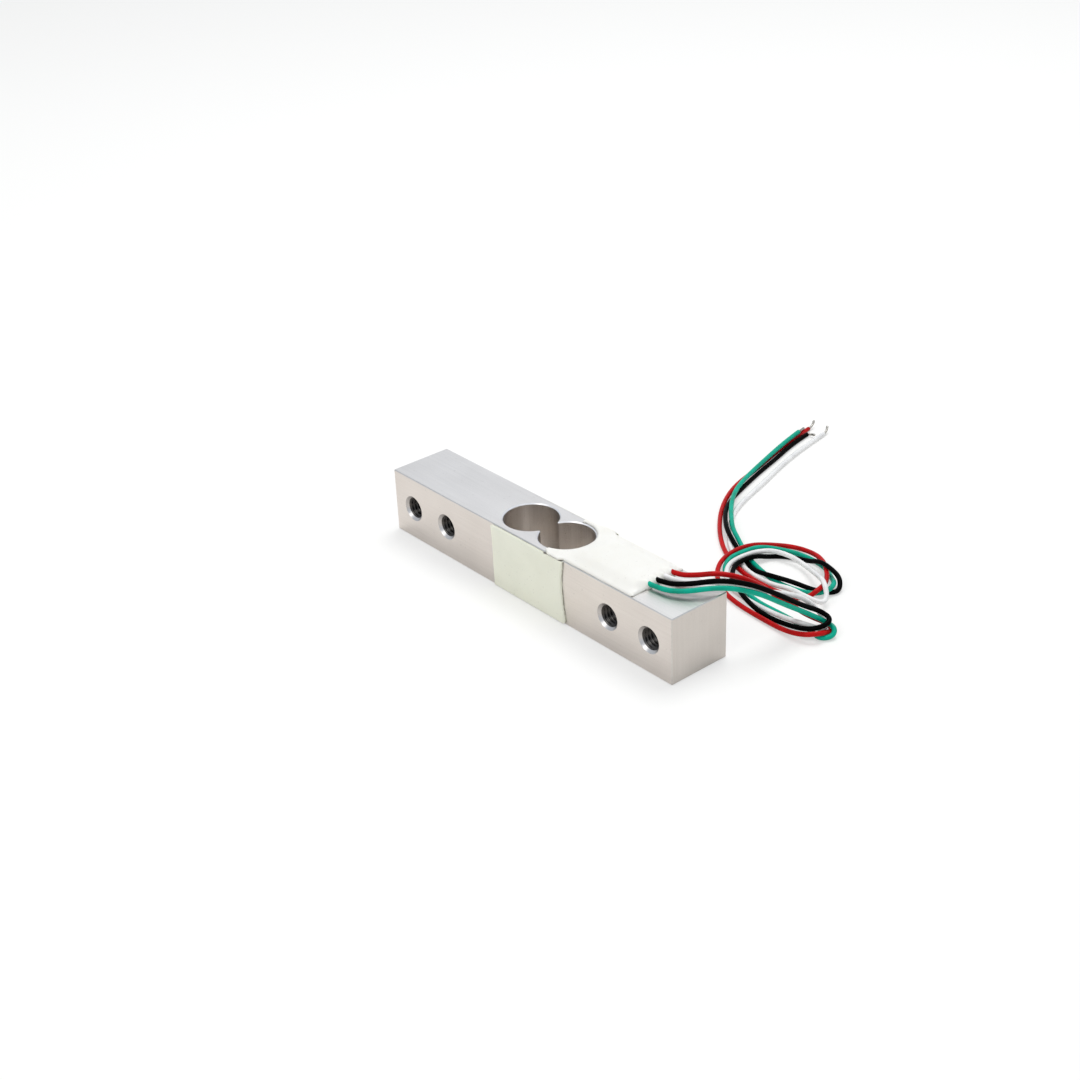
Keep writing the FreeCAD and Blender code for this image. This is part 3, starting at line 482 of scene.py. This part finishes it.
# Each bare tip goes on from its lead's last point: where it bends, and where it ends.
TIP_ROUTES = {
    "green": [(-0.0106, 0.0782, 0.00135), (-0.0109, 0.0793, 0.00125)],
    "black": [(-0.0087, 0.0794, 0.0005), (-0.0077, 0.0790, 0.0008)],
    "white": [(-0.0072, 0.0823, 0.0006), (-0.0079, 0.0831, 0.0015)],
    "red": [(-0.0110, 0.0822, 0.0007), (-0.0115, 0.0830, 0.0016)],
}


def smooth_curve(name, points, depth=0.0, resolution=8):
    """An open NURBS spline with these control points, round and of one thickness."""
    data = bpy.data.curves.new(name, "CURVE")
    data.dimensions = "3D"
    data.resolution_u = resolution
    data.bevel_depth = 1.0 if depth else 0.0
    data.bevel_resolution = 6
    data.use_fill_caps = True
    spline = data.splines.new("NURBS")
    spline.points.add(len(points) - 1)
    for point, place in zip(spline.points, points):
        point.co = (*place, 1.0)
        point.radius = depth
    spline.order_u = 3
    spline.use_endpoint_u = True
    return data


def centre_line(points):
    """Points along the smooth line that these control points give."""
    data = smooth_curve("line", points, resolution=16)
    holder = bpy.data.objects.new("line", data)
    bpy.context.scene.collection.objects.link(holder)
    mesh = bpy.data.meshes.new_from_object(holder)
    line = [vertex.co.copy() for vertex in mesh.vertices]
    bpy.data.objects.remove(holder)
    bpy.data.curves.remove(data)
    bpy.data.meshes.remove(mesh)
    return line


def strand_bundle(line):
    """A twisted bundle of strands, drawn together and rounded off by tin towards its end."""
    round_from = 0.86
    sides = STRANDS * 6
    total = sum((b - a).length for a, b in zip(line, line[1:]))
    travelled = 0.0
    across = None
    rings = []
    mesh = bmesh.new()
    for index, here in enumerate(line):
        ahead = line[min(index + 1, len(line) - 1)] - line[max(index - 1, 0)]
        ahead.normalize()
        if across is None:
            across = ahead.orthogonal().normalized()
        across = (across - ahead * across.dot(ahead)).normalized()
        other = ahead.cross(across)
        if index:
            travelled += (here - line[index - 1]).length
        share = travelled / total
        groove = 0.16 * (1 - 0.75 * share)
        swell = 1 + 0.07 * math.sin(share * 9.0)
        close = 1.0
        if share > round_from:
            close = math.sqrt(max(0.02, 1 - ((share - round_from) / (1 - round_from)) ** 2))
        ring = []
        for side in range(sides):
            angle = 2 * math.pi * side / sides
            strand = abs(math.cos(STRANDS * angle / 2))
            radius = CORE_DIAMETER / 2 * (1 - groove + groove * strand) * close * swell
            turned = angle + travelled * TWIST_PER_METRE
            offset = across * math.cos(turned) + other * math.sin(turned)
            ring.append(mesh.verts.new(here + offset * radius))
        rings.append(ring)
    join_rings(mesh, rings)
    data = mesh_from(mesh, "strands")
    data.shade_smooth()
    return data


def make_leads():
    for colour, route in LEAD_ROUTES.items():
        strands = strand_bundle(centre_line([route[-1], *TIP_ROUTES[colour]]))
        tip = add_piece(f"{colour}_tip", strands, f"{colour}_far_end")
        paint(tip, TINNED)
        lead = add_piece(
            f"{colour}_wire",
            smooth_curve(f"{colour}_wire", route, LEAD_DIAMETER / 2),
            f"{colour}_lead",
        )
        paint(lead, PVC[colour])
        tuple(route[0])


# ---------------------------------------------------------------- bar

# The M4 threads' pitch, the radii of their crests and roots, and the countersinks' radius where
# they meet the bar's faces.
THREAD_PITCH = 0.7 * MM
THREAD_CREST = 1.665 * MM
THREAD_ROOT = 2.02 * MM
SINK_MOUTH = 2.5 * MM

# Where the bores and the lobes of the binocular hole have their centres along the bar. The
# sealant's outline takes its lobe's centre in millimetres.
BORE_PLACES = (-22 * MM, -32 * MM, 22 * MM, 32 * MM)
LOBE_CENTRE = 4.8
LOBE_PLACES = (-LOBE_CENTRE * MM, LOBE_CENTRE * MM)

# The edge, countersink and thread finishes carry painted shade, and the rim finish a painted
# highlight.
BAR_FINISHES = (FACE, END, SHADED_EDGE, WALL, SHADED_THREAD, HIGHLIT_RIM, SHADED_SINK)


def thread_cutter(centre_z, half_width):
    """Screws across the bar, one for each bore, that flare out into a countersink at its faces."""
    sides = 48
    steps_per_turn = 9
    reach = half_width + 0.3 * MM
    rows = int(round(2 * reach / THREAD_PITCH * steps_per_turn))
    mesh = bmesh.new()
    for centre_x in BORE_PLACES:
        rings = []
        for row in range(rows + 1):
            along = -reach + 2 * reach * row / rows
            sink = SINK_MOUTH - (half_width - abs(along))
            ring = []
            for side in range(sides):
                angle = 2 * math.pi * side / sides
                phase = (along / THREAD_PITCH + side / sides) % 1.0
                flank = min(1.0, max(0.0, (abs(phase * 2 - 1) - 0.12) / 0.70))
                radius = max(THREAD_CREST + (THREAD_ROOT - THREAD_CREST) * flank, sink)
                x = centre_x + radius * math.cos(angle)
                z = centre_z + radius * math.sin(angle)
                ring.append(mesh.verts.new((x, along, z)))
            rings.append(ring)
        join_rings(mesh, rings)
    bmesh.ops.recalc_face_normals(mesh, faces=mesh.faces)
    cutter = bpy.data.objects.new("thread_cutter", mesh_from(mesh, "thread_cutter"))
    bpy.context.scene.collection.objects.link(cutter)
    return cutter


def welded_copy(source):
    """A mesh's copy with its points joined and without its stored normals, ready to be cut."""
    data = source.copy()
    work = bmesh.new()
    work.from_mesh(data)
    bmesh.ops.remove_doubles(work, verts=work.verts, dist=1e-7)
    work.to_mesh(data)
    work.free()
    if "custom_normal" in data.attributes:
        data.attributes.remove(data.attributes["custom_normal"])
    return data


def bar_finish(face, centre_z, half_width):
    """The finish that one face of the bar has, from where it lies and which way it looks; the
    edge, countersink and thread finishes carry painted shade, the rim's a painted highlight.
    """
    centre, normal = face.center, face.normal
    bore = min(math.hypot(centre.x - x, centre.z - centre_z) for x in BORE_PLACES)
    lobe = min(math.hypot(centre.x - x, centre.y) for x in LOBE_PLACES)
    flat = max(abs(normal.x), abs(normal.y), abs(normal.z)) > 0.999
    if bore < 2.08 * MM and abs(centre.y) < half_width - 0.45 * MM:
        return SHADED_THREAD
    if bore < 2.85 * MM and not flat:
        return SHADED_SINK
    if lobe < 5.35 * MM and abs(normal.z) < 0.1:
        return WALL
    if flat:
        return END if abs(normal.x) > 0.9 else FACE
    return HIGHLIT_RIM if lobe < 6 * MM else SHADED_EDGE


def make_bar():
    """The bar with threads cut into its four bores, and a finish for each kind of face, painted
    shade and a painted highlight among them.
    """
    low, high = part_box("beam")
    centre_z = (low.z + high.z) / 2
    half_width = high.y

    blank = bpy.data.objects.new("bar_blank", welded_copy(NODES["beam"].data))
    bpy.context.scene.collection.objects.link(blank)
    cutter = thread_cutter(centre_z, half_width)
    cut = blank.modifiers.new("threads", "BOOLEAN")
    cut.operation = "DIFFERENCE"
    cut.solver = "EXACT"
    cut.object = cutter
    bpy.context.view_layer.update()
    evaluated = blank.evaluated_get(bpy.context.evaluated_depsgraph_get())
    threaded = bpy.data.meshes.new_from_object(evaluated)
    bpy.data.objects.remove(blank)
    bpy.data.objects.remove(cutter)
    threaded.name = "bar"
    piece = add_piece("bar", threaded, "beam")
    paint(piece, *BAR_FINISHES)

    threaded.shade_smooth()
    threaded.set_sharp_from_angle(angle=math.radians(28))
    for face in threaded.polygons:
        finish = bar_finish(face, centre_z, half_width)
        face.material_index = BAR_FINISHES.index(finish)
        face.use_smooth = finish not in (FACE, END)


# ---------------------------------------------------------------- sealant


def smoothstep(number):
    number = min(1.0, max(0.0, number))
    return number * number * (3 - 2 * number)


def soft_min(first, second, reach):
    """The smaller of two distances, with the corner between them rounded."""
    blend = max(reach - abs(first - second), 0.0) / reach
    return min(first, second) - blend * blend * reach / 4


def wobble(first, second, scale, seed):
    """A slow, seeded unevenness between about -1 and 1, from places in millimetres."""
    return noise.noise(Vector((first * scale, second * scale, seed)))


# In millimetres: where the bar's sides and its top lie, and how thick a film's skin is.
SIDE_FACE = 6.35
TOP_FACE = 12.7
SKIN = 0.04


def sealant_film(name, inside, height, place, low, high, step):
    """A closed, thin skin over a flat face, in millimetres, from a grid between two corners.

    inside(u, v) is the distance into the outline, below zero outside it. height(u, v) is how
    far the skin stands off the face. place(u, v, w) puts a point in the part's frame.
    """
    columns = int(math.ceil((high[0] - low[0]) / step))
    rows = int(math.ceil((high[1] - low[1]) / step))
    mesh = bmesh.new()
    depth = {}
    outer = {}
    inner = {}
    rim = {}

    def spot(column, row):
        return low[0] + column * step, low[1] + row * step

    for column in range(columns + 1):
        for row in range(rows + 1):
            u, v = spot(column, row)
            depth[column, row] = inside(u, v)
            if depth[column, row] > 0:
                up = height(u, v)
                outer[column, row] = mesh.verts.new(place(u, v, up))
                inner[column, row] = mesh.verts.new(place(u, v, max(up - SKIN, up * 0.3)))

    def crossing(first, second):
        key = (min(first, second), max(first, second))
        if key not in rim:
            share = depth[key[0]] / (depth[key[0]] - depth[key[1]])
            start, end = spot(*key[0]), spot(*key[1])
            u = start[0] + (end[0] - start[0]) * share
            v = start[1] + (end[1] - start[1]) * share
            rim[key] = mesh.verts.new(place(u, v, height(u, v)))
        return rim[key]

    for column in range(columns):
        for row in range(rows):
            right, top = column + 1, row + 1
            corners = [(column, row), (right, row), (right, top), (column, top)]
            over = []
            under = []
            for here, there in zip(corners, corners[1:] + corners[:1]):
                if depth[here] > 0:
                    over.append(outer[here])
                    under.append(inner[here])
                if (depth[here] > 0) != (depth[there] > 0):
                    over.append(crossing(here, there))
                    under.append(crossing(here, there))
            if len(over) > 2:
                mesh.faces.new(over)
                mesh.faces.new(under[::-1])
    bmesh.ops.recalc_face_normals(mesh, faces=mesh.faces)
    data = mesh_from(mesh, name)
    data.shade_smooth()
    return data


def rounded_rim(distance, width):
    """From 0 at the rim to 1, as a quarter circle."""
    share = min(1.0, max(0.0, distance) / width)
    return math.sqrt(max(0.0, 1 - (1 - share) ** 2))


def side_film(side):
    """The sealant over one side's gauges, bridging up to the top sealant."""
    seed = 3.0 if side < 0 else 11.0
    bottom = 0.06

    def left(up):
        return -8.14 - 0.21 * smoothstep((up - 7) / 5.5) + 0.10 * wobble(up, 0, 0.35, seed)

    def right(up):
        waist = 0.42 * (1 - smoothstep(abs(up - 7.5) / 5.5))
        foot = 0.28 * smoothstep((4 - up) / 4)
        return 11.05 - waist + foot + 0.12 * wobble(up, 4, 0.4, seed)

    def bridge(along):
        """Where the film runs on over the bar's edge, 0 to 1."""
        return smoothstep((along - 6.0) / 1.8)

    def top(along):
        return 12.5 + 0.2 * bridge(along)

    def inside(along, up):
        sides = soft_min(along - left(up), right(up) - along, 0.5)
        low = up - bottom - 0.05 * (1 + wobble(along, 2, 0.5, seed))
        level = soft_min(low, top(along) - up, 0.3)
        corner = 0.9 if along < 6.5 or up < 6 else 0.05
        return soft_min(sides, level, corner)

    def height(along, up):
        fall = min(along - left(up), right(up) - along, up - bottom)
        fall = min(fall, (top(along) - up) + 5.0 * bridge(along))
        uneven = 0.03 * wobble(along, up, 0.28, seed)
        uneven += 0.012 * wobble(along, up, 1.1, seed + 2)
        return min(0.5, 0.49 + uneven) * rounded_rim(fall, 0.55)

    def place(along, up, out):
        return (along * MM, side * (SIDE_FACE + out) * MM, up * MM)

    return {
        "inside": inside,
        "height": height,
        "place": place,
        "low": (-9.2, 0.0),
        "high": (11.9, 12.7),
        "step": 0.15,
    }


def make_side_films():
    for side, name in ((-1, "front"), (1, "back")):
        data = sealant_film(f"{name}_film", **side_film(side))
        piece = add_piece(f"{name}_silicone", data, f"{name}_sealant")
        paint(piece, SHADED_SIDE_SILICONE)


# Where the leads lie across the bar as they leave the top sealant.
LEAD_ROWS = (-2.1, -0.3, 1.5, 3.3)


def near_leads(across):
    """How near a place across the bar is to the leads, each one counting up to 1."""
    return sum(math.exp(-(((across - row) / 0.75) ** 2)) for row in LEAD_ROWS)


def top_film():
    """The sealant from the hole's rim to the leads, raised over the board and round each lead."""
    seed = 23.0

    def lead_ridge(along, across):
        """How much of a ridge of sealant follows the leads out of the mound, 0 to 1."""
        return min(1.0, near_leads(across)) * (1 - smoothstep((along - 27.4) / 1.2))

    def end(across):
        uneven = 0.15 * wobble(across, 0, 0.7, seed)
        return 27.75 + 0.45 * near_leads(across) - 0.035 * across + uneven

    def start(across):
        if across < 0:
            return 6.0 + 0.2 * wobble(across, 1, 0.9, seed)
        return 3.0 + 0.25 * wobble(across, 1, 0.9, seed)

    def rim(along, across):
        """The distance from the binocular hole's bare rim."""
        return math.hypot(along - LOBE_CENTRE, across) - 5.31

    def side(along, across):
        """The distance from the film's long edges, which bridge to the side films in one place."""
        over = smoothstep((along - 6.1) / 1.6) * (1 - smoothstep((along - 10.0) / 1.0))
        half_width = 6.2 + 0.65 * over + 0.04 * wobble(along, across, 0.6, seed) * (1 - over)
        return half_width - abs(across)

    def inside(along, across):
        ends = soft_min(end(across) - along, along - start(across), 0.3)
        return soft_min(soft_min(ends, side(along, across), 0.35), rim(along, across), 0.25)

    def height(along, across):
        fall = min(rim(along, across), side(along, across))
        fall = min(fall, end(across) - along, along - start(across))
        body = 0.42 + 0.03 * wobble(along, across, 0.25, seed)
        body += 0.02 * wobble(along, across, 0.9, seed + 4)
        rise = smoothstep((along - 9.6) / 4.6) * smoothstep((28.0 - along) / 2.0)
        mound = rise * smoothstep((6.2 - abs(across)) / 3.1)
        ridge = 0.84 * lead_ridge(along, across) * smoothstep((along - 24.4) / 2.4)
        mound += (1 - mound) * ridge
        return body * rounded_rim(fall, 0.5) + 1.04 * mound * rounded_rim(fall, 0.35)

    def place(along, across, out):
        return (along * MM, across * MM, (TOP_FACE + out) * MM)

    return {
        "inside": inside,
        "height": height,
        "place": place,
        "low": (2.4, -7.0),
        "high": (29.2, 7.0),
        "step": 0.14,
    }


def make_top_film():
    data = sealant_film("top_film", **top_film())
    piece = add_piece("top_silicone", data, "top_sealant")
    paint(piece, TOP_SILICONE)


# ---------------------------------------------------------------- pieces under the sealant


def paint_hidden():
    for name, piece in NODES.items():
        for ending, material in HIDDEN_FINISHES.items():
            if name.endswith(ending):
                paint(piece, material)


# ---------------------------------------------------------------- stage


def make_floor():
    nodes = Nodes("floor")
    cloud = nodes.noise((3, 3, 3), detail=1.0)
    light_path = nodes.add("ShaderNodeLightPath")
    paper = nodes.ramp(cloud, [(0.3, rgb(0.90, 0.895, 0.875)), (0.7, rgb(0.91, 0.905, 0.89))])
    # The floor is coloured warmer where metal reflects it than where it is seen: a painted warm
    # reflection on the bar's faces.
    reflected = rgb(0.90, 0.85, 0.81)
    nodes.colour(nodes.mix(light_path.outputs["Is Glossy Ray"], paper, reflected))
    nodes.set(Roughness=0.9, Specular_IOR_Level=0.1)
    glow = nodes.add("ShaderNodeEmission")
    glow.inputs["Color"].default_value = rgb(1, 1, 1)
    glow.inputs["Strength"].default_value = 1.0
    blend = nodes.add("ShaderNodeMixShader")
    seen = nodes.math("MULTIPLY", light_path.outputs["Is Camera Ray"], 0.45)
    nodes.link(seen, blend.inputs["Fac"])
    nodes.link(nodes.shader.outputs["BSDF"], blend.inputs[1])
    nodes.link(glow.outputs["Emission"], blend.inputs[2])
    output = nodes.tree.nodes["Material Output"]
    nodes.link(blend.outputs["Shader"], output.inputs["Surface"])

    mesh = bmesh.new()
    bmesh.ops.create_grid(mesh, x_segments=8, y_segments=8, size=4.0)
    data = mesh_from(mesh, "floor")
    floor = bpy.data.objects.new("floor", data)
    bpy.context.scene.collection.objects.link(floor)
    floor.location.z = -0.00002
    data.materials.append(nodes.material)


def make_world():
    """A bluish white that is seen and reflected, and a softer light from all round."""
    world = bpy.data.worlds.new("studio")
    bpy.context.scene.world = world
    world.use_nodes = True
    tree = world.node_tree
    tree.nodes.clear()

    def background(colour, strength):
        node = tree.nodes.new("ShaderNodeBackground")
        node.inputs["Color"].default_value = colour
        node.inputs["Strength"].default_value = strength
        return node.outputs[0]

    path = tree.nodes.new("ShaderNodeLightPath")
    seen = path.outputs["Is Camera Ray"]
    for ray in ("Is Glossy Ray", "Is Transmission Ray"):
        either = tree.nodes.new("ShaderNodeMath")
        either.operation = "MAXIMUM"
        tree.links.new(seen, either.inputs[0])
        tree.links.new(path.outputs[ray], either.inputs[1])
        seen = either.outputs[0]
    blend = tree.nodes.new("ShaderNodeMixShader")
    tree.links.new(seen, blend.inputs["Fac"])
    tree.links.new(background(rgb(0.95, 0.975, 1.0), 0.66), blend.inputs[1])
    tree.links.new(background(rgb(0.78, 0.825, 0.90), 1.0), blend.inputs[2])
    output = tree.nodes.new("ShaderNodeOutputWorld")
    tree.links.new(blend.outputs[0], output.inputs["Surface"])


LAMP_TARGET = Vector((0.005, 0.02, 0.0))


def add_lamp(name, place, size, power, colour):
    data = bpy.data.lights.new(name, "AREA")
    data.shape = "DISK"
    data.size = size
    data.energy = power
    data.color = colour
    lamp = bpy.data.objects.new(name, data)
    bpy.context.scene.collection.objects.link(lamp)
    lamp.location = place
    aim = LAMP_TARGET - Vector(place)
    lamp.rotation_euler = aim.to_track_quat("-Z", "Y").to_euler()


def make_lights():
    make_world()
    add_lamp("key", (-0.08, 0.22, 0.62), 0.38, 2.15, (1.0, 1.0, 1.0))
    add_lamp("front", (0.05, -0.62, 0.60), 0.5, 1.5, (1.0, 0.98, 0.95))


def main():
    make_camera()
    make_leads()
    make_bar()
    make_side_films()
    make_top_film()
    paint_hidden()
    make_floor()
    make_lights()
    bpy.context.scene.view_settings.view_transform = "Standard"

    bpy.context.view_layer.update()


main()
